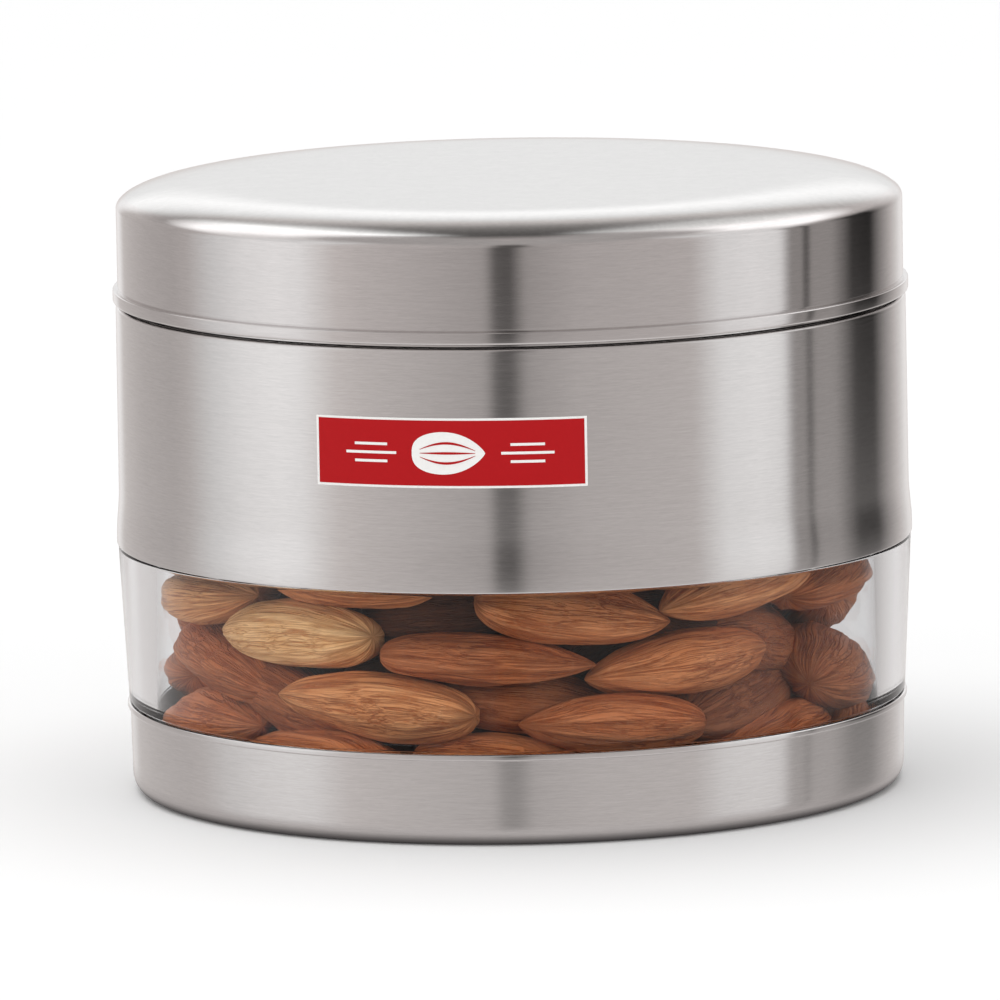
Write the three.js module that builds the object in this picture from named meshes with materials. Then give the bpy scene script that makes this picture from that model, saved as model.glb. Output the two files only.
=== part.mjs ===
// Round see-through kitchen canister: a steel base cup, a clear inner jar that shows as a band,
// a steel upper sleeve with a neck, a pull-off steel lid, a stuck-on label, and its filling of almonds.
// Millimetres, +Z up, the origin at the middle of the underside. Azimuth 0 is the front (-Y).

import * as THREE from 'three';

// ---- driving dimensions ---------------------------------------------------------------------

const FACETS = 60; // sides of every turned piece
const SHEET = 0.6; // thickness of the steel sheet
const CLEARANCE = 0.3; // gap kept between neighbouring pieces
const EDGE = 0.25; // small bevel on outer edges

const BASE_RADIUS = 51.2; // base cup, outside
const BASE_HEIGHT = 12.0;
const BASE_CORNER = 2.8; // radius of the rounded bottom edge
const BASE_DRAFT = 0.2; // how much the cup's wall draws in towards the floor
const RIM_STEP = 0.2; // how far the cup's rolled rim stands out from its wall
const RIM_HEIGHT = 0.7;

const BAND_TOP = 32.7; // the clear band shows from the cup's rim to here
const BAND_RADIUS_TOP = 52.2;
const BAND_RADIUS_BOTTOM = 51.35;
const JAR_INNER_RADIUS = 47.45;
const JAR_LINER_RADIUS = 49.5; // outside of the thin wall behind the steel
const JAR_FLOOR = 3.0;
const JAR_FLOOR_ROUND = 2.0; // radius between the jar's wall and its floor, inside
const JAR_TOP = 75.2;

const SLEEVE_BOTTOM = 33.0;
const SLEEVE_SHOULDER = 64.5; // where the neck starts, just under the lid
const SLEEVE_RADIUS_BOTTOM = 52.02;
const SLEEVE_RADIUS_TOP = 51.9;
const LIP_RADIUS = 52.36; // the flared bottom lip of the sleeve
const LIP_HEIGHT = 3.3;
const LIP_TAPER_BELOW = 0.5; // the lip runs into the wall from this far below its height
const LIP_TAPER_ABOVE = 0.3; // to this far above it
const SHOULDER_ROUND = 1.0;
const NECK_RADIUS = 50.55;
const NECK_TOP = 76.1;
const NECK_CURL = 1.9; // how far the neck's top edge turns in over the jar
const NECK_BEVEL = 0.4; // the neck's top edge is bevelled this far inwards
const NECK_BEVEL_DEPTH = 0.9; // and this far down, to lead the lid on

const LID_BOTTOM = 65.0;
const LID_RADIUS = 51.6;
const BEAD_RADIUS = 52.25; // the folded bead round the lid's rim
const BEAD_HEIGHT = 1.65;
const CROWN_START = 77.2; // where the lid's wall begins to turn over
const CROWN_TOP = 80.6;
const CROWN_FLAT_RADIUS = 36.0; // the flat disc in the middle of the lid
const CROWN_FULLNESS = 2.5; // exponent of the crown's curve: higher is squarer
const CROWN_STEPS = 9;

const LABEL_FROM = -29.4; // azimuths of the label's two ends, degrees
const LABEL_TO = 11.1;
const LABEL_BOTTOM = 46.3;
const LABEL_HEIGHT = 9.0;
const LABEL_INNER_RADIUS = 52.1;
const LABEL_THICKNESS = 0.24;
const LABEL_STEPS = 14;

const CORE_RADIUS = 23.0; // the hidden middle of the filling
const CORE_TOP = 40.0;
const CORE_ROUND = 6.0;

const ALMOND = { length: 25, width: 11.6, thickness: 7.0 };
const BLUNT_POWER = 0.85; // below 1 the blunt end is fuller than an ellipse
const TIP_POWER = 0.6; // added to it by the tip, which is more pointed
const BLUNT_SWELL = 0.15; // share by which the blunt half is wider
const ALMOND_RINGS = 7;
const ALMOND_SIDES = 8;
const SETTLE_PASSES = 400;
const SETTLE_GAP = 0.2; // air kept round each almond

// ---- materials ------------------------------------------------------------------------------

function steel(color = 0xa9a19d) {
  return new THREE.MeshStandardMaterial({ color, roughness: 0.3, metalness: 1 });
}

function clearPlastic() {
  return new THREE.MeshStandardMaterial({
    color: 0xeef1f4, roughness: 0.05, metalness: 0, transparent: true, opacity: 0.3,
  });
}

function redPaper() {
  return new THREE.MeshStandardMaterial({ color: 0xb41a1f, roughness: 0.45, metalness: 0 });
}

function almondSkin(tone) {
  const colors = { light: 0xc08a5a, mid: 0xa0694a, dark: 0x7a452f };
  return new THREE.MeshStandardMaterial({ color: colors[tone], roughness: 0.65, metalness: 0 });
}

// ---- shape helpers --------------------------------------------------------------------------

const radians = THREE.MathUtils.degToRad;

/** Points along an arc in the radius-height half plane; angles in degrees, 0 pointing outwards. */
function arc(radius, height, size, from, to, steps) {
  const points = [];
  for (let i = 0; i <= steps; i++) {
    const angle = radians(from + ((to - from) * i) / steps);
    points.push([radius + size * Math.cos(angle), height + size * Math.sin(angle)]);
  }
  return points;
}

/** The lid's crown, from its wall up to the flat disc; offset moves it inwards for the inner face. */
function crownCurve(offset, steps) {
  const points = [];
  const reach = LID_RADIUS - CROWN_FLAT_RADIUS;
  for (let i = 0; i <= steps; i++) {
    const t = (Math.PI / 2) * (i / steps);
    const radius = CROWN_FLAT_RADIUS + (reach - offset) * Math.cos(t) ** (2 / CROWN_FULLNESS);
    const height = CROWN_START + (CROWN_TOP - offset - CROWN_START) * Math.sin(t);
    points.push([radius, height]);
  }
  return points;
}

/** A turned piece about Z from a closed outline of [radius, height] points, anticlockwise. */
function turned(outline, facets = FACETS) {
  const closed = [...outline];
  if (outline[0][0] > 0) closed.push(outline[0]);
  const profile = closed.map(([radius, height]) => new THREE.Vector2(radius, height));
  const geometry = new THREE.LatheGeometry(profile, facets);
  geometry.rotateX(Math.PI / 2);
  return geometry;
}

function named(name, geometry, material) {
  const mesh = new THREE.Mesh(geometry, material);
  mesh.name = name;
  return mesh;
}

// ---- steel shells and the clear jar ---------------------------------------------------------

function lid() {
  const beadTop = LID_BOTTOM + BEAD_HEIGHT;
  const inner = LID_RADIUS - SHEET;
  const outline = [
    [0, CROWN_TOP - SHEET],
    ...crownCurve(SHEET, CROWN_STEPS).reverse(),
    [inner, LID_BOTTOM + EDGE],
    [inner + EDGE, LID_BOTTOM],
    [BEAD_RADIUS - EDGE, LID_BOTTOM],
    [BEAD_RADIUS, LID_BOTTOM + EDGE],
    [BEAD_RADIUS, beadTop - EDGE],
    [BEAD_RADIUS - EDGE, beadTop],
    [LID_RADIUS, beadTop],
    ...crownCurve(0, CROWN_STEPS),
    [0, CROWN_TOP],
  ];
  return named('lid', turned(outline), steel());
}

function upperSleeve() {
  const lipTop = SLEEVE_BOTTOM + LIP_HEIGHT;
  const lipEnd = lipTop - LIP_TAPER_BELOW;
  const wallStart = lipTop + LIP_TAPER_ABOVE;
  const outline = [
    [LIP_RADIUS - SHEET, SLEEVE_BOTTOM],
    [LIP_RADIUS - EDGE, SLEEVE_BOTTOM],
    [LIP_RADIUS, SLEEVE_BOTTOM + EDGE],
    [LIP_RADIUS, lipEnd],
    [SLEEVE_RADIUS_BOTTOM, wallStart],
    ...arc(SLEEVE_RADIUS_TOP - SHOULDER_ROUND, SLEEVE_SHOULDER - SHOULDER_ROUND, SHOULDER_ROUND, 0, 90, 3),
    [NECK_RADIUS, SLEEVE_SHOULDER],
    [NECK_RADIUS, NECK_TOP - NECK_BEVEL_DEPTH],
    [NECK_RADIUS - NECK_BEVEL, NECK_TOP],
    [NECK_RADIUS - NECK_CURL, NECK_TOP],
    [NECK_RADIUS - NECK_CURL, NECK_TOP - SHEET],
    [NECK_RADIUS - SHEET, NECK_TOP - SHEET],
    [NECK_RADIUS - SHEET, SLEEVE_SHOULDER - SHEET],
    [SLEEVE_RADIUS_TOP - SHEET, SLEEVE_SHOULDER - SHOULDER_ROUND],
    [SLEEVE_RADIUS_BOTTOM - SHEET, wallStart],
    [LIP_RADIUS - SHEET, lipEnd],
  ];
  return named('upper_sleeve', turned(outline), steel());
}

function clearJar() {
  const cupInside = BASE_RADIUS - BASE_DRAFT - SHEET - CLEARANCE;
  const bottom = SHEET + CLEARANCE;
  const inside = bottom + JAR_FLOOR;
  const bandBottom = BASE_HEIGHT + CLEARANCE;
  const outline = [
    [0, bottom],
    [cupInside - BASE_CORNER, bottom],
    ...arc(cupInside - BASE_CORNER, bottom + BASE_CORNER, BASE_CORNER, -60, 0, 2),
    [cupInside, bandBottom],
    [BAND_RADIUS_BOTTOM, bandBottom],
    [BAND_RADIUS_TOP, BAND_TOP],
    [JAR_LINER_RADIUS, BAND_TOP],
    [JAR_LINER_RADIUS, JAR_TOP],
    [JAR_INNER_RADIUS, JAR_TOP],
    ...arc(JAR_INNER_RADIUS - JAR_FLOOR_ROUND, inside + JAR_FLOOR_ROUND, JAR_FLOOR_ROUND, 0, -90, 3),
    [0, inside],
  ];
  return named('clear_jar', turned(outline), clearPlastic());
}

function baseCup() {
  const low = BASE_RADIUS - BASE_DRAFT;
  const inner = low - SHEET;
  const innerCorner = BASE_CORNER - SHEET;
  const rim = BASE_RADIUS + RIM_STEP;
  const rimBottom = BASE_HEIGHT - RIM_HEIGHT;
  const outline = [
    [0, 0],
    ...arc(low - BASE_CORNER, BASE_CORNER, BASE_CORNER, -90, 0, 4),
    [BASE_RADIUS, rimBottom],
    [rim, rimBottom + EDGE],
    [rim, BASE_HEIGHT - EDGE],
    [rim - EDGE, BASE_HEIGHT],
    [BASE_RADIUS - SHEET, BASE_HEIGHT],
    ...arc(inner - innerCorner, SHEET + innerCorner, innerCorner, 0, -90, 3),
    [0, SHEET],
  ];
  return named('base_cup', turned(outline), steel(0xaba39f));
}

// ---- label ----------------------------------------------------------------------------------

function frontLabel() {
  const shape = new THREE.Shape();
  const outer = LABEL_INNER_RADIUS + LABEL_THICKNESS;
  const edge = (radius, azimuth) => [
    radius * Math.sin(radians(azimuth)), -radius * Math.cos(radians(azimuth)),
  ];
  const step = (LABEL_TO - LABEL_FROM) / LABEL_STEPS;
  shape.moveTo(...edge(outer, LABEL_FROM));
  for (let i = 1; i <= LABEL_STEPS; i++) shape.lineTo(...edge(outer, LABEL_FROM + i * step));
  for (let i = LABEL_STEPS; i >= 0; i--) shape.lineTo(...edge(LABEL_INNER_RADIUS, LABEL_FROM + i * step));
  shape.closePath();
  const geometry = new THREE.ExtrudeGeometry(shape, { depth: LABEL_HEIGHT, bevelEnabled: false });
  const mesh = named('front_label', geometry, redPaper());
  mesh.position.z = LABEL_BOTTOM;
  return mesh;
}

// ---- filling --------------------------------------------------------------------------------

/** Half width of an almond, 0 to 1, at a share u of the way from its blunt end to its tip. */
function almondHalfWidth(u) {
  const phi = Math.acos(1 - 2 * u);
  return Math.sin(phi) ** (BLUNT_POWER + TIP_POWER * u) * (1 + BLUNT_SWELL * Math.cos(phi));
}

/** An almond with its long axis along X and its tip at +X, wide along Y and thin along Z. */
function almondGeometry({ length, width, thickness }) {
  const profile = [];
  for (let i = 0; i <= ALMOND_RINGS; i++) {
    const u = (1 - Math.cos((Math.PI * i) / ALMOND_RINGS)) / 2;
    const onAxis = i === 0 || i === ALMOND_RINGS;
    profile.push(new THREE.Vector2(onAxis ? 0 : almondHalfWidth(u), 2 * u - 1));
  }
  const geometry = new THREE.LatheGeometry(profile, ALMOND_SIDES);
  geometry.scale(width / 2, length / 2, thickness / 2);
  geometry.rotateZ(-Math.PI / 2);
  return geometry;
}

/** Balls that cover an almond, as [centre, radius], for keeping the almonds apart. */
function almondBalls({ length, width, thickness }) {
  const balls = [];
  for (const u of [0.07, 0.2, 0.34, 0.5, 0.65, 0.79, 0.91]) {
    const share = almondHalfWidth(u);
    const radius = (thickness / 2) * share;
    const spread = (width / 2 - thickness / 2) * share;
    for (const side of [-1, 0, 1]) {
      balls.push([new THREE.Vector3((u - 0.5) * length, side * spread, 0), radius + SETTLE_GAP]);
    }
  }
  return balls;
}

// Almonds that lie against the front of the clear wall, from left to right:
// [azimuth, height, slope up to the right, roll, centre radius, length, tip to the right, tone].
const FRONT_ALMONDS = [
  [-97, 17, 6, 6, 40.5, 24, false, 'mid'],
  [-98, 28, -4, -6, 40.5, 24, true, 'dark'],
  [-67, 28, 6, 8, 40.5, 24, true, 'mid'],
  [-70, 10.8, 4, 10, 40.0, 25, true, 'mid'],
  [-64, 19, -12, 4, 39.5, 25, true, 'dark'],
  [-43, 8.8, -3, 14, 40.0, 26, false, 'mid'],
  [-42, 25.0, 4, 22, 40.2, 25, false, 'light'],
  [-30, 33.0, -6, 12, 40.0, 24, true, 'mid'],
  [-25, 16.6, -3, 20, 40.3, 27, false, 'mid'],
  [-6, 22.8, -3, -4, 40.8, 27, true, 'dark'],
  [-5, 9.8, -6, 12, 39.5, 25, true, 'mid'],
  [12, 26.8, -9, 14, 40.2, 25, true, 'mid'],
  [16, 13.4, -3, 14, 40.2, 24, false, 'mid'],
  [21, 35, -3, 0, 39.5, 25, false, 'dark'],
  [29, 19.8, 4, 16, 40.3, 25, false, 'mid'],
  [43, 28.6, 11, 8, 40.0, 25, false, 'light'],
  [55, 10.6, 8, 10, 40.0, 26, false, 'mid'],
  [71, 28.2, 16, 8, 40.3, 23, true, 'dark'],
  [77, 17.4, 4, 30, 40.8, 24, true, 'mid'],
  [84, 9.0, 5, 8, 40.5, 25, false, 'dark'],
  [88, 26.0, -14, 25, 41.0, 24, false, 'dark'],
];

const BACK_ROWS = [11, 20, 29]; // heights of the rows of almonds round the back
const BACK_FROM = 118; // azimuths that the back rows run between
const BACK_TO = 238;
const BACK_PER_ROW = 5;
const TONES = ['mid', 'dark', 'mid', 'light', 'mid'];

/** A repeatable spread of numbers between -1 and 1. */
function wobble(index, seed) {
  const value = Math.sin(index * 12.9898 + seed * 78.233) * 43758.5453;
  return 2 * (value - Math.floor(value)) - 1;
}

function backAlmonds() {
  const almonds = [];
  const step = (BACK_TO - BACK_FROM) / (BACK_PER_ROW - 1);
  BACK_ROWS.forEach((height, row) => {
    for (let i = 0; i < BACK_PER_ROW; i++) {
      const index = row * BACK_PER_ROW + i;
      const azimuth = BACK_FROM + (i + (row % 2 ? 0.35 : 0)) * step + 2 * wobble(index, 1);
      almonds.push([
        azimuth, height + wobble(index, 2), 10 * wobble(index, 3), 14 * wobble(index, 4), 40.2,
        25 + wobble(index, 5), wobble(index, 6) > 0, TONES[index % TONES.length],
      ]);
    }
  });
  return almonds;
}

function almondMesh(name, [azimuth, height, slope, roll, radius, length, tipRight, tone]) {
  const size = { ...ALMOND, length };
  const mesh = named(name, almondGeometry(size), almondSkin(tone));
  const turn = tipRight ? azimuth : azimuth + 180;
  const rise = tipRight ? -slope : slope;
  mesh.position.set(radius * Math.sin(radians(azimuth)), -radius * Math.cos(radians(azimuth)), height);
  mesh.rotation.set(radians(roll), radians(rise), radians(turn), 'ZYX');
  mesh.userData.balls = almondBalls(size);
  mesh.userData.start = mesh.position.clone();
  return mesh;
}

/** The almond's balls where the almond now lies. */
function placedBalls(mesh) {
  return mesh.userData.balls.map(([centre, radius]) => ({
    centre: centre.clone().applyQuaternion(mesh.quaternion).add(mesh.position), radius,
  }));
}

/** Moves two almonds apart along their deepest overlap; true if they touched. */
function pushApart(first, second) {
  if (first.position.distanceTo(second.position) > ALMOND.length * 1.2) return false;
  let deepest = 0;
  const push = new THREE.Vector3();
  for (const a of placedBalls(first)) {
    for (const b of placedBalls(second)) {
      const depth = a.radius + b.radius - a.centre.distanceTo(b.centre);
      if (depth > deepest) {
        deepest = depth;
        push.subVectors(a.centre, b.centre).setLength(depth / 2);
      }
    }
  }
  if (deepest === 0) return false;
  first.position.add(push);
  second.position.sub(push);
  return true;
}

/** Keeps an almond between the jar's wall and floor and the core. */
function keepInJar(mesh) {
  const floor = SHEET + CLEARANCE + JAR_FLOOR + CLEARANCE;
  const wall = (JAR_INNER_RADIUS - CLEARANCE) * Math.cos(Math.PI / FACETS);
  for (const { centre, radius } of placedBalls(mesh)) {
    const out = new THREE.Vector3(centre.x, centre.y, 0);
    const reach = out.length();
    out.normalize();
    const outside = reach + radius - wall;
    if (outside > 0) mesh.position.addScaledVector(out, -outside);
    const inside = CORE_RADIUS + CLEARANCE - (reach - radius);
    if (inside > 0) mesh.position.addScaledVector(out, inside);
    const below = floor - (centre.z - radius);
    if (below > 0) mesh.position.z += below;
  }
}

/** Moves the almonds until none touch; in the early passes each is also drawn to where it started. */
function settle(almonds) {
  for (let pass = 0; pass < SETTLE_PASSES; pass++) {
    const pull = Math.max(0, 0.1 * (1 - (2 * pass) / SETTLE_PASSES));
    let touching = false;
    for (let i = 0; i < almonds.length; i++) {
      almonds[i].position.lerp(almonds[i].userData.start, pull);
      for (let j = i + 1; j < almonds.length; j++) {
        if (pushApart(almonds[i], almonds[j])) touching = true;
      }
      keepInJar(almonds[i]);
    }
    if (!touching) break;
  }
}

function almondRing() {
  const rows = [...FRONT_ALMONDS, ...backAlmonds()];
  const almonds = rows.map((row, i) => almondMesh(`almond_${String(i + 1).padStart(2, '0')}`, row));
  settle(almonds);
  return almonds;
}

/** The hidden middle of the filling, as one round-topped plug standing on the jar's floor. */
function almondCore() {
  const bottom = SHEET + 2 * CLEARANCE + JAR_FLOOR;
  const outline = [
    [0, bottom],
    [CORE_RADIUS, bottom],
    ...arc(CORE_RADIUS - CORE_ROUND, CORE_TOP - CORE_ROUND, CORE_ROUND, 0, 90, 4),
    [0, CORE_TOP],
  ];
  return named('almond_core', turned(outline, 32), almondSkin('mid'));
}

// ---- the canister ---------------------------------------------------------------------------

const canister = new THREE.Group();
canister.add(baseCup(), clearJar(), upperSleeve(), frontLabel(), lid());
canister.add(almondCore(), ...almondRing());

export default canister;
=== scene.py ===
"""The looks of the see-through steel canister: turned shells, a clear jar, a small label and loose almonds.

Metres, +Z up, the front is -Y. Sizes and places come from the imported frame; named lengths are details on it.
"""

import math
import random

import bpy
import numpy as np
from mathutils import Matrix, Vector, noise


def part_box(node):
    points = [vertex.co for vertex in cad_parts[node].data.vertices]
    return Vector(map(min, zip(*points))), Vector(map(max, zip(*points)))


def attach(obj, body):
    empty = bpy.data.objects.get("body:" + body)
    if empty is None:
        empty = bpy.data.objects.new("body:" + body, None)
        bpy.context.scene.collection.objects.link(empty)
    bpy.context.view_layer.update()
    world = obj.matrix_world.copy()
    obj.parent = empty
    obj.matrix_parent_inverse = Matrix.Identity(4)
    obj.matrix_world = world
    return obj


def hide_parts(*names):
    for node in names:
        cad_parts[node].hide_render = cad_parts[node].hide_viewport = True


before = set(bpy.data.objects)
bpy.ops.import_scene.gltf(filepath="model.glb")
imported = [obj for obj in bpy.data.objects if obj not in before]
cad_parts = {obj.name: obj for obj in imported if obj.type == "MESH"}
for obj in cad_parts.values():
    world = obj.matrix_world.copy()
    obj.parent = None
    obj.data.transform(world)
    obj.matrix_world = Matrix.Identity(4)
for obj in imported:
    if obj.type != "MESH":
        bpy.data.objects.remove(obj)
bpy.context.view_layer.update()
MM = 0.001

# ---- sizes ------------------------------------------------------------------------------------

SHEET = 0.55 * MM  # steel sheet
TURNS = 288  # sides of a turned piece
LID_LOW, LID_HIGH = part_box("lid")
SLEEVE_LOW, SLEEVE_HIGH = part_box("upper_sleeve")
JAR_LOW, JAR_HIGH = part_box("clear_jar")
CUP_LOW, CUP_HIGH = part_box("base_cup")
LABEL_LOW, LABEL_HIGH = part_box("front_label")

BEAD_STEP = 0.65 * MM  # how far the lid's bead stands out from its wall
BEAD_HEIGHT = 1.65 * MM
CROWN_RISE = 3.4 * MM  # height of the lid's curved shoulder
CROWN_FLAT = 36.0 * MM  # radius of the flat disc on the lid
CROWN_FULLNESS = 2.5
CROWN_STEPS = 40
SATIN_DEPTH = 1.95 * MM  # the satin finish of the lid's top ends this far below it
LIP_STEP = 0.38 * MM  # how far the sleeve's bottom lip flares
FLARE_START = 0.8 * MM  # the flare runs into the wall from here
FLARE_LENGTH = 6.5 * MM
FLARE_STEPS = 12
NECK_STEP = 1.8 * MM  # how far the neck stands in from the sleeve's lip
NECK_HEIGHT = 11.6 * MM
NECK_CURL = 1.9 * MM
WALL_DRAFT = 0.1 * MM  # the sleeve's wall narrows by this much up to its shoulder
WALL_START = 1 * MM  # the plain wall begins this far above the flare
BAND_LOW = CUP_HIGH.z + 0.2 * MM
BAND_HIGH = SLEEVE_LOW.z - 0.15 * MM
BAND_DRAFT = 1.05 * MM  # the clear band narrows by this much towards the cup
JAR_INSIDE = 47.45 * MM
JAR_LINER = 49.5 * MM
JAR_FLOOR = 3.0 * MM
CUP_DRAFT = 0.2 * MM
RIM_STEP = 0.35 * MM  # how far the cup's rolled rim stands out from its wall
RIM_HEIGHT = 0.75 * MM
CUP_CORNER = 2.8 * MM
CUP_GAP = 0.3 * MM  # between the jar and the cup around it

ALMOND_COUNT = sum(name.startswith("almond_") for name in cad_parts) - 1


# ---- shader helpers ---------------------------------------------------------------------------

def new_material(name):
    material = bpy.data.materials.new(name)
    material.use_nodes = True
    tree = material.node_tree
    shader = tree.nodes["Principled BSDF"]
    return material, tree, shader


def add_node(tree, kind, **settings):
    node = tree.nodes.new(kind)
    for key, value in settings.items():
        setattr(node, key, value)
    return node


def math_node(tree, operation, a, b=None):
    node = add_node(tree, "ShaderNodeMath", operation=operation)
    for socket, value in zip(node.inputs, (a, b)):
        if isinstance(value, (int, float)):
            socket.default_value = value
        elif value is not None:
            tree.links.new(value, socket)
    return node.outputs[0]


def scaled_position(tree, scale):
    """Object coordinates, stretched by scale on each axis."""
    position = add_node(tree, "ShaderNodeTexCoord").outputs["Object"]
    mapping = add_node(tree, "ShaderNodeMapping")
    mapping.inputs["Scale"].default_value = scale
    tree.links.new(position, mapping.inputs["Vector"])
    return mapping.outputs["Vector"]


def noise_node(tree, vector, scale=1.0, detail=3.0, roughness=0.6):
    node = add_node(tree, "ShaderNodeTexNoise")
    node.inputs["Scale"].default_value = scale
    node.inputs["Detail"].default_value = detail
    node.inputs["Roughness"].default_value = roughness
    tree.links.new(vector, node.inputs["Vector"])
    return node.outputs["Fac"]


def ramp(tree, factor, stops, interpolation="LINEAR"):
    """A colour ramp from [position, grey or (r, g, b)] stops."""
    node = add_node(tree, "ShaderNodeValToRGB")
    node.color_ramp.interpolation = interpolation
    elements = node.color_ramp.elements
    while len(elements) < len(stops):
        elements.new(1.0)
    for element, (position, value) in zip(elements, stops):
        rgb = (value,) * 3 if isinstance(value, (int, float)) else value
        element.position = position
        element.color = (*rgb, 1.0)
    tree.links.new(factor, node.inputs["Fac"])
    return node.outputs["Color"]


def map_range(tree, value, low, high, to_low, to_high):
    node = add_node(tree, "ShaderNodeMapRange")
    node.inputs["From Min"].default_value = low
    node.inputs["From Max"].default_value = high
    node.inputs["To Min"].default_value = to_low
    node.inputs["To Max"].default_value = to_high
    tree.links.new(value, node.inputs["Value"])
    return node.outputs["Result"]


def mix_colour(tree, factor, a, b, blend="MIX"):
    node = add_node(tree, "ShaderNodeMix", data_type="RGBA", blend_type=blend)
    for socket, value in ((node.inputs[0], factor), (node.inputs[6], a), (node.inputs[7], b)):
        if isinstance(value, (int, float)):
            socket.default_value = value
        elif isinstance(value, tuple):
            socket.default_value = (*value, 1.0)
        else:
            tree.links.new(value, socket)
    return node.outputs[2]


def add_bump(tree, shader, height, strength, distance):
    bump = add_node(tree, "ShaderNodeBump")
    bump.inputs["Strength"].default_value = strength
    bump.inputs["Distance"].default_value = distance
    tree.links.new(height, bump.inputs["Height"])
    tree.links.new(bump.outputs["Normal"], shader.inputs["Normal"])


# ---- materials --------------------------------------------------------------------------------

def steel_material(name, grain, colour, roughness, anisotropy):
    """Brushed stainless steel; grain is the stretch of its fine scratches on each axis, per metre."""
    material, tree, shader = new_material(name)
    fine = noise_node(tree, scaled_position(tree, grain), detail=4.0, roughness=0.7)
    coarse = noise_node(tree, scaled_position(tree, tuple(0.28 * g for g in grain)), detail=2.0)
    cloud = noise_node(tree, scaled_position(tree, (55, 55, 55)), detail=2.0)
    scratches = math_node(
        tree, "ADD", math_node(tree, "MULTIPLY", fine, 0.65), math_node(tree, "MULTIPLY", coarse, 0.35))
    dark = tuple(0.93 * c for c in colour)
    light = tuple(1.06 * c for c in colour)
    tone = map_range(tree, scratches, 0.35, 0.65, 0.0, 1.0)
    tree.links.new(mix_colour(tree, tone, dark, light), shader.inputs["Base Color"])
    blur = math_node(
        tree, "ADD", math_node(tree, "MULTIPLY", scratches, 0.7), math_node(tree, "MULTIPLY", cloud, 0.3))
    tree.links.new(map_range(tree, blur, 0.35, 0.65, *roughness), shader.inputs["Roughness"])
    shader.inputs["Metallic"].default_value = 1.0
    shader.inputs["Anisotropic"].default_value = anisotropy
    shader.inputs["Anisotropic Rotation"].default_value = 0.25
    tangent = add_node(tree, "ShaderNodeTangent", direction_type="RADIAL", axis="Z")
    tree.links.new(tangent.outputs["Tangent"], shader.inputs["Tangent"])
    add_bump(tree, shader, scratches, 0.05, 0.02 * MM)
    return material


def clear_plastic():
    """Clear moulded plastic. Lamps reach what is behind it, and it mirrors less than real acrylic."""
    material, tree, shader = new_material("clear_plastic")
    shader.inputs["Base Color"].default_value = (0.95, 0.962, 0.975, 1.0)
    shader.inputs["Transmission Weight"].default_value = 1.0
    shader.inputs["IOR"].default_value = 1.27
    shader.inputs["Roughness"].default_value = 0.02
    ripple = noise_node(tree, scaled_position(tree, (90, 90, 30)), detail=2.0)
    add_bump(tree, shader, ripple, 0.1, 0.03 * MM)
    output = tree.nodes["Material Output"]
    path = add_node(tree, "ShaderNodeLightPath")
    through = add_node(tree, "ShaderNodeBsdfTransparent")
    through.inputs["Color"].default_value = (0.95, 0.96, 0.965, 1.0)
    mix = add_node(tree, "ShaderNodeMixShader")
    tree.links.new(path.outputs["Is Shadow Ray"], mix.inputs[0])
    tree.links.new(shader.outputs["BSDF"], mix.inputs[1])
    tree.links.new(through.outputs["BSDF"], mix.inputs[2])
    tree.links.new(mix.outputs["Shader"], output.inputs["Surface"])
    return material


def paper_material(name, colour, roughness):
    """Coated sticker paper with a faint fibre grain."""
    material, tree, shader = new_material(name)
    fibre = noise_node(tree, scaled_position(tree, (2500, 2500, 2500)), detail=3.0)
    dark = tuple(0.9 * c for c in colour)
    tree.links.new(mix_colour(tree, fibre, dark, colour), shader.inputs["Base Color"])
    spread = map_range(tree, fibre, 0.3, 0.7, roughness - 0.06, roughness + 0.06)
    tree.links.new(spread, shader.inputs["Roughness"])
    shader.inputs["Specular IOR Level"].default_value = 0.12
    add_bump(tree, shader, fibre, 0.1, 0.02 * MM)
    return material


def distance_from_half(tree, value):
    """How far a noise value is from its middle: 0 along thin winding lines."""
    return math_node(tree, "ABSOLUTE", math_node(tree, "SUBTRACT", value, 0.5))


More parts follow.
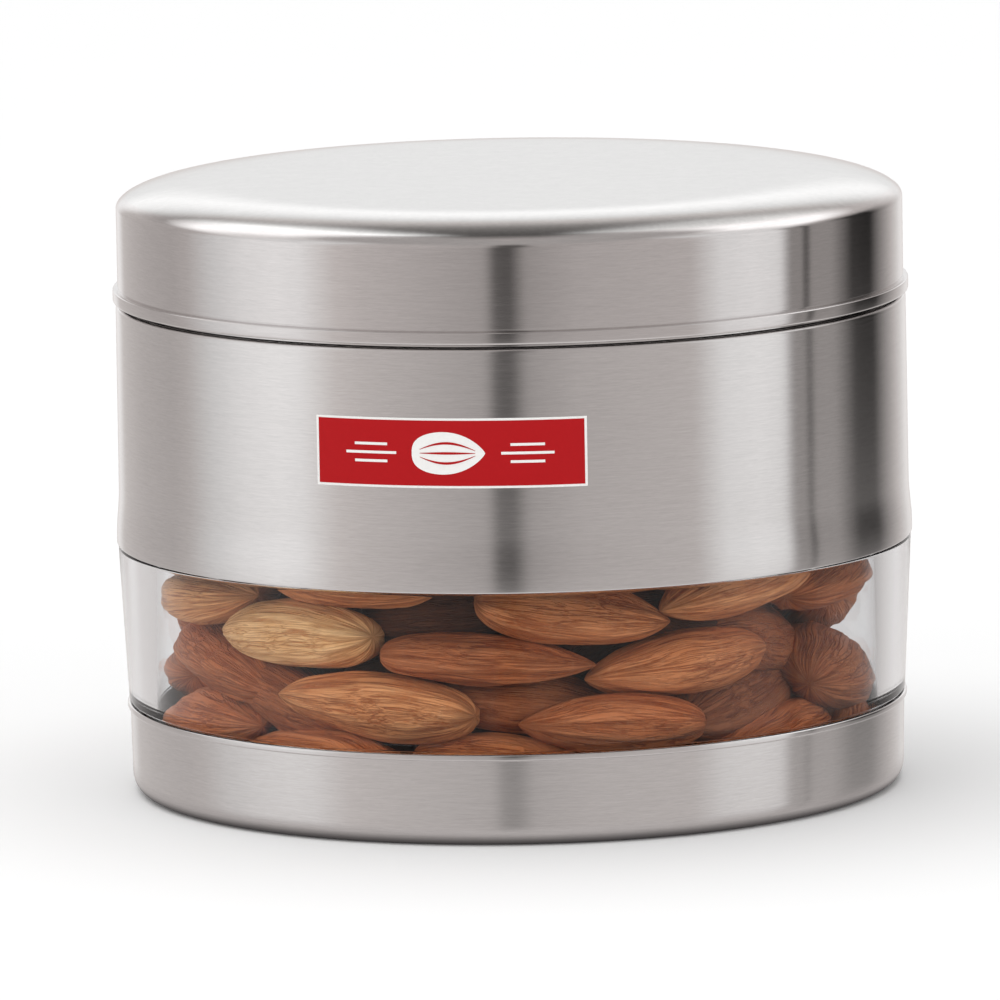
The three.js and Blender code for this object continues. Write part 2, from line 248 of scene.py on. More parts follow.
def almond_material():
    """Dry almond skin: lengthwise veins, darker in the grooves, dusty, with a painted highlight that makes the
    raised ridge tops lighter and whiter.
    """
    material, tree, shader = new_material("almond_skin")
    grain = add_node(tree, "ShaderNodeAttribute", attribute_name="grain").outputs["Vector"]
    tone = add_node(tree, "ShaderNodeAttribute", attribute_name="tone").outputs["Fac"]
    height = add_node(tree, "ShaderNodeAttribute", attribute_name="ridge").outputs["Fac"]
    veins = noise_node(tree, grain, scale=1.25, detail=3.0, roughness=0.55)
    threads = noise_node(tree, grain, scale=3.0, detail=2.0, roughness=0.5)
    patches = noise_node(tree, scaled_position(tree, (220, 220, 220)), detail=3.0)
    dust = noise_node(tree, scaled_position(tree, (1500, 1500, 1500)), detail=3.0)
    crease = map_range(tree, distance_from_half(tree, veins), 0.0, 0.05, 0.0, 1.0)
    hair = map_range(tree, distance_from_half(tree, threads), 0.0, 0.06, 0.35, 1.0)
    ridge = math_node(tree, "MULTIPLY", crease, hair)
    # tone near 0 gives a near black skin: painted shade for the almonds deep in the jar
    deep = ramp(tree, tone, [
        (0.0, (0.02, 0.009, 0.007)),
        (0.5, (0.23, 0.044, 0.012)),
        (0.8, (0.36, 0.090, 0.025)),
        (1.0, (0.56, 0.20, 0.06)),
    ])
    pale = ramp(tree, tone, [
        (0.0, (0.06, 0.020, 0.012)),
        (0.5, (0.60, 0.195, 0.072)),
        (0.8, (0.80, 0.350, 0.140)),
        (1.0, (1.0, 0.60, 0.28)),
    ])
    skin = mix_colour(tree, ridge, deep, pale)
    blotch = map_range(tree, patches, 0.35, 0.7, 0.0, 0.6)
    warm = ramp(tree, tone, [
        (0.0, (0.04, 0.014, 0.009)),
        (0.5, (0.46, 0.105, 0.026)),
        (0.8, (0.62, 0.200, 0.060)),
        (1.0, (0.82, 0.40, 0.15)),
    ])
    skin = mix_colour(tree, blotch, skin, warm)
    # painted highlight: the raised ridge tops are painted lighter and whiter where light would glint on them
    painted_ridge_highlight = map_range(tree, height, 0.5, 1.0, 0.0, 0.55)
    skin = mix_colour(tree, painted_ridge_highlight, skin, mix_colour(tree, 1.0, pale, (1.2, 1.3, 1.4), "MULTIPLY"))
    dusty = math_node(tree, "MULTIPLY", map_range(tree, dust, 0.5, 0.75, 0.0, 0.22), tone)
    skin = mix_colour(tree, dusty, skin, (0.80, 0.50, 0.28))
    tree.links.new(skin, shader.inputs["Base Color"])
    tree.links.new(map_range(tree, veins, 0.3, 0.7, 0.62, 0.4), shader.inputs["Roughness"])
    shader.inputs["Specular IOR Level"].default_value = 0.35
    shader.inputs["Specular Tint"].default_value = (1.0, 0.8, 0.62, 1.0)
    relief = math_node(
        tree, "ADD", math_node(tree, "MULTIPLY", ridge, 0.75), math_node(tree, "MULTIPLY", dust, 0.25))
    add_bump(tree, shader, relief, 0.7, 0.32 * MM)
    return material


# ---- turned shells ----------------------------------------------------------------------------

def rounded(corners, steps=6):
    """Points of a closed outline whose corners, (radius, height, rounding), are rounded with arcs."""
    points = []
    count = len(corners)
    for i, (r, z, size) in enumerate(corners):
        here = Vector((r, z))
        if size <= 0:
            points.append((r, z))
            continue
        before = Vector(corners[i - 1][:2]) - here
        after = Vector(corners[(i + 1) % count][:2]) - here
        half = before.angle(after) / 2
        reach = min(size / math.tan(half), 0.49 * before.length, 0.49 * after.length)
        start = here + before.normalized() * reach
        end = here + after.normalized() * reach
        for k in range(steps + 1):
            t = k / steps
            curve = (1 - t) ** 2 * start + 2 * t * (1 - t) * here + t ** 2 * end
            points.append((curve.x, curve.y))
    return points


def turned(name, outline, material, body, node, sharp=40, top_material=None, top_from=0.0):
    """A smooth piece turned about Z from a closed outline; top_material goes on its faces above top_from."""
    vertices, rings = [], []
    for r, z in outline:
        if r < 1e-7:
            rings.append([len(vertices)] * TURNS)
            vertices.append((0.0, 0.0, z))
        else:
            rings.append(list(range(len(vertices), len(vertices) + TURNS)))
            for i in range(TURNS):
                angle = 2 * math.pi * i / TURNS
                vertices.append((r * math.sin(angle), -r * math.cos(angle), z))
    faces, finishes = [], []
    for k in range(len(rings)):
        low, high = rings[k], rings[(k + 1) % len(rings)]
        if low[0] == low[1] and high[0] == high[1]:
            continue
        upper = min(outline[k][1], outline[(k + 1) % len(outline)][1]) > top_from
        finishes += [int(upper)] * TURNS
        for i in range(TURNS):
            j = (i + 1) % TURNS
            face = [low[i], low[j], high[j], high[i]]
            faces.append([v for n, v in enumerate(face) if v not in face[:n]])
    piece = finished(name, vertices, faces, material, body, (node,), sharp)
    if top_material:
        piece.data.materials.append(top_material)
        piece.data.polygons.foreach_set("material_index", finishes)
    return piece


def finished(name, vertices, faces, material, body, nodes, sharp=None):
    """Makes the mesh object, smooths it, gives it its material, ties it to its body and hides the CAD nodes it
    replaces.
    """
    mesh = bpy.data.meshes.new(name)
    mesh.from_pydata([tuple(v) for v in vertices], [], faces)
    mesh.validate()
    mesh.shade_smooth()
    if sharp:
        mesh.set_sharp_from_angle(angle=math.radians(sharp))
    piece = bpy.data.objects.new(name, mesh)
    bpy.context.scene.collection.objects.link(piece)
    mesh.materials.append(material)
    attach(piece, body)
    if nodes:
        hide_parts(*nodes)
    return piece


def crown(top, wall, inset):
    """The lid's curved shoulder from the wall up to the flat disc, moved in by inset."""
    points = []
    for k in range(CROWN_STEPS + 1):
        t = (math.pi / 2) * k / CROWN_STEPS
        r = CROWN_FLAT + (wall - inset - CROWN_FLAT) * math.cos(t) ** (2 / CROWN_FULLNESS)
        z = top - CROWN_RISE + (CROWN_RISE - inset) * math.sin(t)
        points.append((r, z))
    return points


def make_lid(material, top_material):
    bead, low, top = LID_HIGH.x, LID_LOW.z, LID_HIGH.z
    wall = bead - BEAD_STEP
    inner = wall - SHEET
    ledge = low + BEAD_HEIGHT
    rim = rounded([
        (inner, low, 0.15 * MM),
        (bead, low, 0.35 * MM),
        (bead, ledge, 0.22 * MM),
        (wall - 0.05 * MM, ledge - 0.12 * MM, 0.04 * MM),
        (wall, ledge + 0.35 * MM, 0.1 * MM),
        (wall, top - CROWN_RISE, 0),
        (inner, top - CROWN_RISE, 0),
    ])
    outline = rim[:-1] + crown(top, wall, 0.0)[1:] + [(0.0, top), (0.0, top - SHEET)]
    outline += crown(top, wall, SHEET)[::-1]
    return turned(
        "lid_shell", outline, material, "lid", "lid",
        top_material=top_material, top_from=top - SATIN_DEPTH)


def make_sleeve(material):
    lip, low, top = SLEEVE_HIGH.x, SLEEVE_LOW.z, SLEEVE_HIGH.z
    wall = lip - LIP_STEP
    neck = lip - NECK_STEP
    shoulder = top - NECK_HEIGHT
    straight = low + FLARE_START + FLARE_LENGTH + WALL_START
    flare = []
    for k in range(FLARE_STEPS + 1):
        t = k / FLARE_STEPS
        r = lip - LIP_STEP * (1 - math.cos(math.pi * t)) / 2
        flare.append((r, low + FLARE_START + t * FLARE_LENGTH))
    shell = rounded([
        (lip - SHEET, low, 0.1 * MM),
        (lip, low, 0.25 * MM),
        (*flare[0], 0),
    ])[:-1]
    shell += flare
    shell += rounded([
        (wall, straight, 0),
        (wall - WALL_DRAFT, shoulder, 1.0 * MM),
        (neck, shoulder, 0.2 * MM),
        (neck, top, 0.45 * MM),
        (neck - NECK_CURL, top, 0.3 * MM),
        (neck - NECK_CURL, top - SHEET, 0.1 * MM),
        (neck - SHEET, top - SHEET, 0.2 * MM),
        (neck - SHEET, shoulder - SHEET, 0.3 * MM),
        (wall - WALL_DRAFT - SHEET, shoulder - SHEET, 0.6 * MM),
        (wall - SHEET, straight, 0),
    ])
    shell += [(r - SHEET, z) for r, z in reversed(flare)]
    return turned("sleeve_shell", shell, material, "canister", "upper_sleeve")


def make_cup(material):
    rim, low, top = CUP_HIGH.x, CUP_LOW.z, CUP_HIGH.z
    wall = rim - RIM_STEP
    foot = wall - CUP_DRAFT
    inner = foot - SHEET
    under = top - RIM_HEIGHT
    corners = [
        (0.0, low, 0),
        (foot, low, CUP_CORNER),
        (wall, under - 0.1 * MM, 0.06 * MM),
        (rim, under, 0.3 * MM),
        (rim, top, 0.34 * MM),
        (wall - SHEET, top, 0.2 * MM),
        (inner, low + SHEET, CUP_CORNER - SHEET),
        (0.0, low + SHEET, 0),
    ]
    return turned("base_shell", rounded(corners, 10), material, "canister", "base_cup")


def make_jar(material):
    band, low, top = JAR_HIGH.x, JAR_LOW.z, JAR_HIGH.z
    inside_cup = CUP_HIGH.x - RIM_STEP - CUP_DRAFT - SHEET - CUP_GAP
    corners = [
        (0.0, low, 0),
        (inside_cup, low, 2.8 * MM),
        (inside_cup, BAND_LOW, 0.1 * MM),
        (band - BAND_DRAFT, BAND_LOW, 0.3 * MM),
        (band, BAND_HIGH, 0.3 * MM),
        (JAR_LINER, BAND_HIGH, 0.3 * MM),
        (JAR_LINER, top, 0.5 * MM),
        (JAR_INSIDE, top, 0.5 * MM),
        (JAR_INSIDE, low + JAR_FLOOR, 2.0 * MM),
        (0.0, low + JAR_FLOOR, 0),
    ]
    return turned("jar_clear", rounded(corners, 8), material, "canister", "clear_jar")


# ---- almonds ----------------------------------------------------------------------------------

# how light each front almond looks, from almond_01 on, chosen to look like the photo: partly its skin tone,
# partly painted light, as almond_07 is made lightest where light falls on it from the front left
FRONT_TONES = [
    0.5, 0.7, 0.84, 0.5, 0.45, 0.55, 1.0, 0.65, 0.78, 0.42, 0.58,
    0.62, 0.52, 0.5, 0.62, 0.72, 0.5, 0.42, 0.34, 0.5, 0.4,
]
# almonds just behind the front ones: azimuth, height mm, radius mm, slope and roll in degrees, tone
# their low tones paint shade into the gaps between the front almonds
INNER_ALMONDS = [
    (-13, 28.5, 33, 4, -70, 0.04),
    (2, 16.8, 34, -6, -75, 0.3),
    (-50, 15.6, 37.5, 166, -60, 0.35),
    (52, 15.5, 35.5, 12, -60, 0.25),
    (61, 22, 34.5, -10, -50, 0.3),
    (-17, 33.5, 31, 12, -60, 0.02),
    (32, 27.5, 33, -12, -60, 0.05),
    (-66, 24, 34, 10, -60, 0.2),
]
BLUNT_POWER = 0.8  # below 1 the blunt end is fuller than an ellipse
TIP_POWER = 0.72  # added to it by the tip, which is more pointed
BLUNT_SWELL = 0.17  # share by which the blunt half is wider
SLIM = {10: 0.78}  # this almond is thinner than the rest
PLUMPER_LENGTH, PLUMPER_WIDTH, PLUMPER_THICKNESS = 1.02, 1.13, 1.16
HEAP_LAYERS = (9, 19, 29)  # heights of the hidden layers, mm
HEAP_TOP = 36.4  # height of the top layer, mm
WALL_GAP = 0.15 * MM


def almond_half_width(u):
    """Half width of an almond, 0 to 1, at u from its blunt end, 0, to its tip, 1."""
    phi = math.acos(1 - 2 * u)
    return math.sin(phi) ** (BLUNT_POWER + TIP_POWER * u) * (1 + BLUNT_SWELL * math.cos(phi))


def almond_grid(size, seed, rows, columns):
    """Points, shader grain, ridge heights for the painted ridge highlight, and faces of one wrinkled almond
    along +X, its tip at +X.
    """
    length, width, thickness = size
    rng = random.Random(seed)
    shift = Vector((rng.uniform(0, 90), rng.uniform(0, 90), rng.uniform(0, 90)))
    bend = rng.uniform(-0.03, 0.03) * length
    belly = rng.uniform(-0.25, 0.25)
    points, grain, highlight_heights = [], [], []
    for i in range(rows + 1):
        u = (1 - math.cos(math.pi * i / rows)) / 2
        half = almond_half_width(u)
        bow = bend * math.sin(math.pi * u)
        for j in range(columns if 0 < i < rows else 1):
            theta = 2 * math.pi * j / columns
            c, s = math.cos(theta), math.sin(theta)
            around = Vector((c, s, 0.0))
            slow = noise.noise(around * 1.1 + Vector((0, 0, 2.2 * u)) + shift)
            sway = 0.5 * noise.noise(around * 0.9 + Vector((7.7, 0, 3.5 * u)) + shift)
            ridge = noise.noise(around * 3.4 + Vector((sway, -sway, 1.9 * u)) + shift)
            fine = noise.noise(around * 7.5 + Vector((2 * sway, sway, 4.5 * u)) + shift)
            lift = (0.55 * slow + 0.4 * ridge + 0.2 * fine) * MM * min(1.0, 1.7 * half)
            side = half * width / 2 * c * (1 + 0.05 * belly * s)
            rise = half * thickness / 2 * s * abs(s) ** 0.12
            out = Vector((0.0, c * thickness, s * width)).normalized()
            point = Vector(((u - 0.5) * length, side + bow, rise)) + out * lift
            points.append(point)
            grain.append((3.8 * c + 1.3 * sway + shift.x, 3.8 * s - 1.3 * sway + shift.y, 0.9 * u + shift.z))
            # ridge heights, kept as the ridge attribute, which place the painted highlight on the skin
            highlight_heights.append(0.5 + 1.1 * ridge + 0.5 * fine)
    faces = []
    for i in range(rows):
        low = 0 if i == 0 else 1 + (i - 1) * columns
        high = 1 + i * columns
        for j in range(columns):
            k = (j + 1) % columns
            if i == 0:
                faces.append([0, high + k, high + j])
            elif i == rows - 1:
                faces.append([low + j, low + k, high])
            else:
                faces.append([low + j, low + k, high + k, high + j])
    return points, grain, highlight_heights, faces


def kept_in_jar(points):
    """Moves an almond in from the jar's wall, flattens what still reaches it, and lifts it off the floor."""
    limit = JAR_INSIDE - WALL_GAP
    flat = points[:, :2]
    far = np.linalg.norm(flat, axis=1)
    worst = int(np.argmax(far))
    if far[worst] > limit:
        points[:, :2] -= flat[worst] / far[worst] * (far[worst] - limit)
    far = np.linalg.norm(points[:, :2], axis=1)
    points[:, :2] *= np.minimum(1.0, limit / np.maximum(far, 1e-9))[:, None]
    lowest = points[:, 2].min()
    floor = JAR_LOW.z + JAR_FLOOR + 0.05 * MM
    if lowest < floor:
        points[:, 2] += floor - lowest
    return points


def almond_pieces(name, almonds, nodes, material):
    """One object from (size, place, seed, tone, rows, columns) almonds."""
    vertices, grains, tones, all_highlight_heights, faces = [], [], [], [], []
    for size, place, seed, tone, rows, columns in almonds:
        points, grain, highlight_heights, quads = almond_grid(size, seed, rows, columns)
        turn = np.array(place.to_3x3())
        points = np.array(points) @ turn.T + np.array(place.translation)
        first = len(vertices)
        vertices += kept_in_jar(points).tolist()
        grains += grain
        tones += [tone] * len(grain)
        all_highlight_heights += highlight_heights
        faces += [[first + v for v in quad] for quad in quads]
    piece = finished(name, vertices, faces, material, "canister", nodes)
    mesh = piece.data
    mesh.attributes.new("grain", "FLOAT_VECTOR", "POINT").data.foreach_set("vector", np.array(grains).ravel())
    # tone is the skin's lightness, kept near black on the almonds deep in the jar as painted shade; ridge
    # places the painted ridge highlight
    for key, values in (("tone", tones), ("ridge", all_highlight_heights)):
        mesh.attributes.new(key, "FLOAT", "POINT").data.foreach_set("value", np.array(values))
    return piece


def cad_almond_place(node):
    """Size and placement of a CAD almond: X along it to the tip, Y across it, Z through its thickness."""
    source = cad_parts[node].data
    points = np.array([v.co for v in source.vertices])
    _, axes = np.linalg.eigh(np.cov((points - points.mean(axis=0)).T))
    axes = axes[:, ::-1]
    along = points @ axes
    middle = axes @ ((along.min(axis=0) + along.max(axis=0)) / 2)
    size = along.max(axis=0) - along.min(axis=0)
    local = (points - middle) @ axes
    if (local[:, 0] * (local[:, 1] ** 2 + local[:, 2] ** 2)).sum() > 0:
        axes[:, 0] *= -1
    axes[:, 2] = np.cross(axes[:, 0], axes[:, 1])
    place = Matrix(axes.tolist()).to_4x4()
    place.translation = Vector(middle.tolist())
    return tuple(size.tolist()), place


def wall_place(azimuth, height, radius, slope, roll):
    """Placement of an almond lying along the jar's wall; lengths in millimetres, angles in degrees."""
    turn = Matrix.Rotation(math.radians(azimuth), 4, "Z")
    lean = Matrix.Rotation(math.radians(-slope), 4, "Y") @ Matrix.Rotation(math.radians(90 + roll), 4, "X")
    return turn @ Matrix.Translation((0.0, -radius * MM, height * MM)) @ lean


def flat_place(azimuth, height, radius, heading, tilt):
    """Placement of an almond lying flat on the heap."""
    turn = Matrix.Rotation(math.radians(azimuth), 4, "Z")
    lean = Matrix.Rotation(math.radians(heading), 4, "Z") @ Matrix.Rotation(math.radians(tilt), 4, "X")
    return turn @ Matrix.Translation((0.0, -radius * MM, height * MM)) @ lean


def make_almonds(material):
    for n in range(1, ALMOND_COUNT + 1):
        node = f"almond_{n:02d}"
        size, place = cad_almond_place(node)
        slim = SLIM.get(n, 1.0)
        size = (size[0] * PLUMPER_LENGTH, size[1] * PLUMPER_WIDTH * slim, size[2] * PLUMPER_THICKNESS * slim)
        rng = random.Random(100 + n)
        tone = FRONT_TONES[n - 1] if n <= len(FRONT_TONES) else rng.uniform(0.3, 0.8)
        almond_pieces(node + "_skin", [(size, place, n, tone, 72, 56)], (node,), material)
    usual = (25 * MM, 12.6 * MM, 8 * MM)
    for n, (azimuth, height, radius, slope, roll, tone) in enumerate(INNER_ALMONDS, 1):
        place = wall_place(azimuth, height, radius, slope, roll)
        almond_pieces(f"almond_inner_{n:02d}", [(usual, place, 60 + n, tone, 56, 40)], (), material)
    rng = random.Random(7)
    heap = []
    for layer, height in enumerate(HEAP_LAYERS):
        for count, radius in ((9, 27), (4, 12)):
            for k in range(count):
                azimuth = 360 * (k + 0.5 * layer) / count + rng.uniform(-6, 6)
                lift = rng.uniform(-2, 2)
                slope = rng.uniform(-35, 35)
                place = wall_place(azimuth, height + lift, radius, slope, rng.uniform(-50, 50))
                # the hidden layers get near black tones: painted shade inside the heap
                heap.append((usual, place, 200 + len(heap), rng.uniform(0.0, 0.08), 36, 26))
    for height, rings in ((HEAP_TOP - 5, ((8, 27), (4, 12))), (HEAP_TOP, ((10, 34.5), (6, 20), (2, 6)))):
        for count, radius in rings:
            for k in range(count):
                azimuth = 360 * k / count + rng.uniform(-9, 9)
                lift = rng.uniform(-0.8, 0.5)
                heading = rng.uniform(0, 360)
                place = flat_place(azimuth, height + lift, radius, heading, rng.uniform(-11, 11))
                heap.append((usual, place, 200 + len(heap), rng.uniform(0.35, 0.9), 44, 32))
    almond_pieces("almond_heap", heap, ("almond_core",), material)


# ---- label ------------------------------------------------------------------------------------

LABEL_WIDTH = 35.6 * MM
LABEL_HEIGHT = LABEL_HIGH.z - LABEL_LOW.z
LABEL_LIFT = 0.35 * MM  # the sticker sits this far above the middle of its CAD node
LABEL_STAND = 0.3 * MM  # about how far the CAD label lies off the wall
LABEL_EDGE = 0.3 * MM  # white edge of the sticker
LABEL_COLUMNS = 48
PAPER = 0.08 * MM
PRINT = 0.025 * MM


def label_angle(x):
    """Azimuth of the CAD label's end at x, taking it to lie LABEL_STAND off the sleeve's wall."""
    return math.asin(x / ((SLEEVE_HIGH.x - LIP_STEP) + LABEL_STAND))


def strip(name, columns, radius, thickness, material, nodes=()):
    """A thin sheet bent round the sleeve, from (arc length, low edge, high edge) columns about its middle."""
    middle = (label_angle(LABEL_LOW.x) + label_angle(LABEL_HIGH.x)) / 2
    height = (LABEL_LOW.z + LABEL_HIGH.z) / 2 + LABEL_LIFT
    vertices, faces = [], []
    for s, low, high in columns:
        angle = middle + s / radius
        for r, z in ((radius, low), (radius, high), (radius + thickness, high), (radius + thickness, low)):
            vertices.append((r * math.sin(angle), -r * math.cos(angle), height + z))
    last = 4 * (len(columns) - 1)
    for k in range(0, last, 4):
        for i in range(4):
            j = (i + 1) % 4
            faces.append([k + i, k + j, k + 4 + j, k + 4 + i])
    faces += [[3, 2, 1, 0], [last, last + 1, last + 2, last + 3]]
    return finished(name, vertices, faces, material, "canister", nodes, 30)


def band(half_width, low, high, middle=0.0, columns=LABEL_COLUMNS):
    """Columns of a plain rectangle."""
    return [(middle + half_width * (2 * k / columns - 1), low, high) for k in range(columns + 1)]


def kernel_shape(length, height, middle, shift=0.0, columns=24):
    """Columns of an almond outline, blunt on the left and pointed on the right."""
    shape = []
    for k in range(columns + 1):
        phi = math.pi * (0.02 + 0.96 * k / columns)
        half = height / 2 * almond_half_width((1 - math.cos(phi)) / 2)
        shape.append((middle - length / 2 * math.cos(phi), shift - half, shift + half))
    return shape


def make_label():
    paper = paper_material("label_paper", (0.86, 0.85, 0.83), 0.5)
    red = paper_material("label_red", (0.43, 0.007, 0.010), 0.4)
    wall = SLEEVE_HIGH.x - LIP_STEP + 0.02 * MM
    half, tall = LABEL_WIDTH / 2, LABEL_HEIGHT / 2
    strip("label_paper", band(half, -tall, tall), wall, PAPER, paper, ("front_label",))
    field = wall + PAPER
    strip("label_field", band(half - LABEL_EDGE, -tall + LABEL_EDGE, tall - LABEL_EDGE), field, PRINT, red)
    marks = field + PRINT
    strip("label_almond", kernel_shape(9.5 * MM, 5.4 * MM, 0.0), marks, PRINT, paper)
    for n, bow in enumerate((-1.3, 0.0, 1.3)):
        vein = []
        for k in range(17):
            u = k / 16
            z = bow * MM * math.sin(math.pi * (0.12 + 0.8 * u))
            thick = 0.16 * MM * math.sin(math.pi * (0.06 + 0.88 * u))
            vein.append(((-3.7 + 7.2 * u) * MM, z - thick, z + thick))
        strip(f"label_vein_{n + 1}", vein, marks + PRINT, PRINT, red)
    for side, sign in (("left", -1), ("right", 1)):
        for n, z in enumerate((-1.1, 0.0, 1.1)):
            length = (3.4 if n == 1 else 2.2) * MM
            rule = band(length, (z - 0.17) * MM, (z + 0.17) * MM, sign * 10.2 * MM, 10)
            strip(f"label_rule_{side}_{n + 1}", rule, marks, PRINT, paper)


# ---- studio and camera ------------------------------------------------------------------------

LENS = 440.7  # millimetres on a 36 mm sensor
CAMERA_DISTANCE = 1.614
CAMERA_ELEVATION = 8.775
CAMERA_ROLL = 1.0
CAMERA_PIVOT = Vector((0.0, 0.0, 0.0268))
CAMERA_AIM = Vector((-0.00185, 0.0, 0.03744))
PAINTED_SHADOW_EDGE = CUP_HIGH.x - 1.0 * MM  # painted shadow: the floor's painted reflection in the steel is dark up to here
MIRRORED_FLOOR = 0.66  # the steel mirrors a painted floor that fades out to only the surroundings at this distance
FLOOR_HALF = 12.0  # half the floor's width
DIM = 0.8  # surroundings dimmer than this are a little warm
LAMP_LIGHT = 1.65  # brightness of the two lamps at the back, as the steel mirrors them
ROOM_LIGHT = 0.62  # brightness of the surroundings for surfaces that aren't shiny


def make_camera():
    data = bpy.data.cameras.new("camera")
    data.lens = LENS
    data.sensor_width = 36.0
    data.clip_start = 0.05
    data.clip_end = 100.0
    camera = bpy.data.objects.new("camera", data)
    bpy.context.scene.collection.objects.link(camera)
    lift = math.radians(CAMERA_ELEVATION)
    place = CAMERA_PIVOT + CAMERA_DISTANCE * Vector((0.0, -math.cos(lift), math.sin(lift)))
    look = (CAMERA_AIM - place).to_track_quat("-Z", "Y")
    roll = Matrix.Rotation(math.radians(-CAMERA_ROLL), 4, "Z")
    camera.matrix_world = Matrix.Translation(place) @ look.to_matrix().to_4x4() @ roll
    bpy.context.scene.camera = camera


def direction_ramp(tree, degrees, stops):
    """Brightness of the surroundings by direction, from (degrees, brightness) stops."""
    share = map_range(tree, degrees, -180, 180, 0.0, 1.0)
    tinted = []
    for angle, v in stops:
        red, blue = (1.06, 0.975) if v < DIM else (1.0, 1.0)
        tinted.append(((angle + 180) / 360, (v * red, v, v * blue)))
    return ramp(tree, share, tinted)


def make_world():
    """Studio surroundings, set to give the steel the photo's light and dark bands.

    Shiny surfaces see soft boxes at the sides, dark cards on the right and a bright backdrop.
    Matt surfaces see an even room, and the camera sees plain white.
    """
    world = bpy.data.worlds.new("studio")
    bpy.context.scene.world = world
    world.use_nodes = True
    tree = world.node_tree
    background = tree.nodes["Background"]
    direction = add_node(tree, "ShaderNodeTexCoord").outputs["Generated"]
    split = add_node(tree, "ShaderNodeSeparateXYZ")
    tree.links.new(direction, split.inputs[0])
    x, y, z = split.outputs
    to_degrees = 180 / math.pi
    front = math_node(tree, "MULTIPLY", y, -1.0)
    azimuth = math_node(tree, "MULTIPLY", math_node(tree, "ARCTAN2", x, front), to_degrees)
    elevation = math_node(tree, "MULTIPLY", math_node(tree, "ARCSINE", z), to_degrees)
    low = direction_ramp(tree, azimuth, [
        (-180, 1.35), (-168, 1.2), (-156, 0.64), (-134, 0.54), (-117, 0.5), (-109, 0.56), (-97, 0.84),
        (-84, 1.05), (-72, 1.13), (-64, 1.08), (-52, 0.72), (-44, 0.64), (-7.5, 0.44),
        (-4.5, 0.12), (0, 0.1), (4.5, 0.4), (20, 0.53), (54, 0.6), (64, 0.98), (76, 1.06),
        (85.5, 1.0), (89.5, 0.3),
        (94.5, 0.34), (95.5, 0.1), (97, 0.1), (98, 0.35), (108, 0.35), (119, 0.04), (131, 0.02), (138, 0.25),
        (150, 0.6), (180, 1.35),
    ])
    high = direction_ramp(tree, azimuth, [
        (-180, 0.12), (-168, 0.34), (-150, 0.42), (-110, 0.62), (-90, 0.95), (-66, 0.98), (-50, 0.66),
        (-8, 0.5), (-3, 0.12), (3, 0.12), (8, 0.45), (56, 0.62), (68, 0.95), (88, 1.0), (110, 0.62),
        (150, 0.64), (168, 0.5), (180, 0.12),
    ])
    behind = direction_ramp(tree, elevation, [
        (-90, 0.9), (-9, 0.72), (0, 0.7), (5, 0.93), (8, 0.96), (10, 1.12), (13, 1.3), (16, 1.24),
        (19, 1.14), (22, 0.98), (26, 0.72),
        (31, 0.5), (35, 0.32), (41, 0.22), (48, 0.16), (58, 0.12), (67, 0.2), (76, 0.5), (90, 0.55),
    ])
    rise = map_range(tree, elevation, 17, 28, 0.0, 1.0)
    overhead = map_range(tree, elevation, 46, 66, 0.0, 1.0)
    upper = mix_colour(tree, overhead, high, (0.5, 0.48, 0.47))
    around = mix_colour(tree, rise, low, upper)
    downward = map_range(tree, elevation, -36, -22, 1.0, 0.0)
    around = mix_colour(tree, downward, around, (1.02, 1.0, 0.99))
    to_back = map_range(tree, math_node(tree, "ABSOLUTE", azimuth), 161, 173, 0.0, 1.0)
    sides = mix_colour(tree, to_back, around, behind)
    lamp_around = direction_ramp(tree, azimuth, [
        (-174, 0), (-164, 1), (-136, 1), (-121, 0.6), (-90, 0), (90, 0), (104, 0.6), (116, 1), (147, 1),
        (158, 0.5), (170, 0.3), (175, 0),
    ])
    lamp_upward = direction_ramp(tree, elevation, [(28, 0), (37, 1), (55, 1), (62, 0)])
    lamps = math_node(tree, "MULTIPLY", lamp_around, lamp_upward)
    sides = mix_colour(tree, lamps, sides, (LAMP_LIGHT,) * 3)
    path = add_node(tree, "ShaderNodeLightPath")
    room = mix_colour(tree, path.outputs["Is Diffuse Ray"], sides, (ROOM_LIGHT,) * 3)
    seen = mix_colour(tree, path.outputs["Is Camera Ray"], room, (1.0, 1.0, 1.0))
    tree.links.new(seen, background.inputs["Color"])
    background.inputs["Strength"].default_value = 1.0


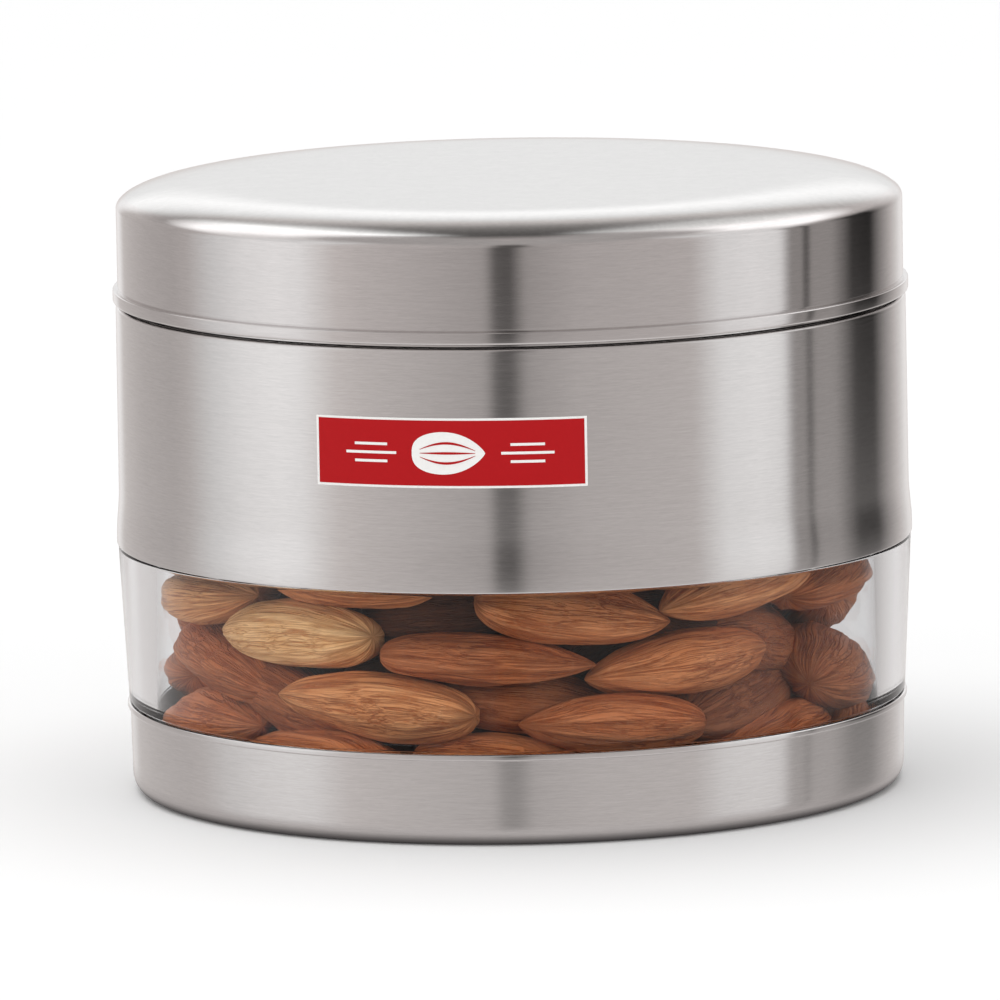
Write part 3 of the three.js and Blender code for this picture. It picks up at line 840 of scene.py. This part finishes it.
def make_floor():
    mesh = bpy.data.meshes.new("floor")
    half = FLOOR_HALF
    corners = [(-half, -half, 0), (half, -half, 0), (half, half, 0), (-half, half, 0)]
    mesh.from_pydata(corners, [], [(0, 1, 2, 3)])
    floor = bpy.data.objects.new("floor", mesh)
    bpy.context.scene.collection.objects.link(floor)
    material, tree, shader = new_material("floor_white")
    shader.inputs["Base Color"].default_value = (0.85, 0.85, 0.85, 1.0)
    shader.inputs["Roughness"].default_value = 0.9
    shader.inputs["Specular IOR Level"].default_value = 0.0
    # glossy rays see a glowing stand-in instead of the lit floor: a painted reflection of the floor that fades
    # to the surroundings far out
    painted_floor_reflection = add_node(tree, "ShaderNodeEmission")
    away = add_node(tree, "ShaderNodeBsdfTransparent")
    reach = add_node(tree, "ShaderNodeVectorMath", operation="LENGTH")
    tree.links.new(add_node(tree, "ShaderNodeTexCoord").outputs["Object"], reach.inputs[0])
    foot = map_range(tree, reach.outputs["Value"], PAINTED_SHADOW_EDGE - 2 * MM, PAINTED_SHADOW_EDGE + 8 * MM, 0.0, 1.0)
    # painted contact shadow: nearly black next to the cup's foot, then lighter farther out
    tone = ramp(tree, foot, [
        (0.0, (0.02, 0.02, 0.02)),
        (0.15, (0.12, 0.11, 0.11)),
        (0.35, (0.5, 0.47, 0.46)),
        (1.0, (0.66, 0.63, 0.615)),
    ])
    tree.links.new(tone, painted_floor_reflection.inputs["Color"])
    share = map_range(tree, reach.outputs["Value"], 0.0, MIRRORED_FLOOR, 0.0, 1.0)
    edge = PAINTED_SHADOW_EDGE / MIRRORED_FLOOR
    faded = ramp(tree, share, [
        (edge, 0.0), (1.15 * edge, 0.5), (0.2, 0.62), (0.4, 0.8), (0.75, 0.95), (1.0, 1.0),
    ])
    near = add_node(tree, "ShaderNodeMixShader")
    tree.links.new(faded, near.inputs[0])
    tree.links.new(painted_floor_reflection.outputs["Emission"], near.inputs[1])
    tree.links.new(away.outputs["BSDF"], near.inputs[2])
    path = add_node(tree, "ShaderNodeLightPath")
    mix = add_node(tree, "ShaderNodeMixShader")
    tree.links.new(path.outputs["Is Glossy Ray"], mix.inputs[0])
    tree.links.new(shader.outputs["BSDF"], mix.inputs[1])
    tree.links.new(near.outputs["Shader"], mix.inputs[2])
    tree.links.new(mix.outputs["Shader"], tree.nodes["Material Output"].inputs["Surface"])
    mesh.materials.append(material)


def add_light(name, kind, place, target, **settings):
    data = bpy.data.lights.new(name, kind)
    for key, value in settings.items():
        setattr(data, key, value)
    light = bpy.data.objects.new(name, data)
    bpy.context.scene.collection.objects.link(light)
    light.location = place
    light.rotation_euler = (Vector(target) - Vector(place)).to_track_quat("-Z", "Y").to_euler()
    light.visible_glossy = False
    light.visible_camera = False


def make_lights():
    middle = (0.0, 0.0, 0.03)
    add_light("top_sun", "SUN", (-0.3, 0.1, 2.0), middle, energy=1.7, angle=math.radians(70))
    add_light("front_left", "AREA", (-0.9, -1.1, 0.45), middle, energy=3.0, size=0.9)
    add_light("front_right", "AREA", (0.9, -1.1, 0.45), middle, energy=3.0, size=0.9)


# ---- the scene --------------------------------------------------------------------------------

scene = bpy.context.scene
scene.view_settings.view_transform = "Standard"
scene.cycles.max_bounces = 14
scene.cycles.transmission_bounces = 12

make_camera()
make_world()
make_floor()
make_lights()

wall_grain = (800, 800, 15000)
wall_steel = steel_material("brushed_steel", wall_grain, (0.675, 0.655, 0.65), (0.15, 0.19), 0.93)
lid_steel = steel_material("lid_wall_steel", wall_grain, (0.64, 0.615, 0.61), (0.115, 0.15), 0.93)
lid_top_steel = steel_material("lid_top_satin", (1500, 1500, 1500), (0.63, 0.622, 0.615), (0.08, 0.11), 0.0)
make_lid(lid_steel, lid_top_steel)
make_sleeve(wall_steel)
make_cup(wall_steel)
make_jar(clear_plastic())
make_label()
make_almonds(almond_material())
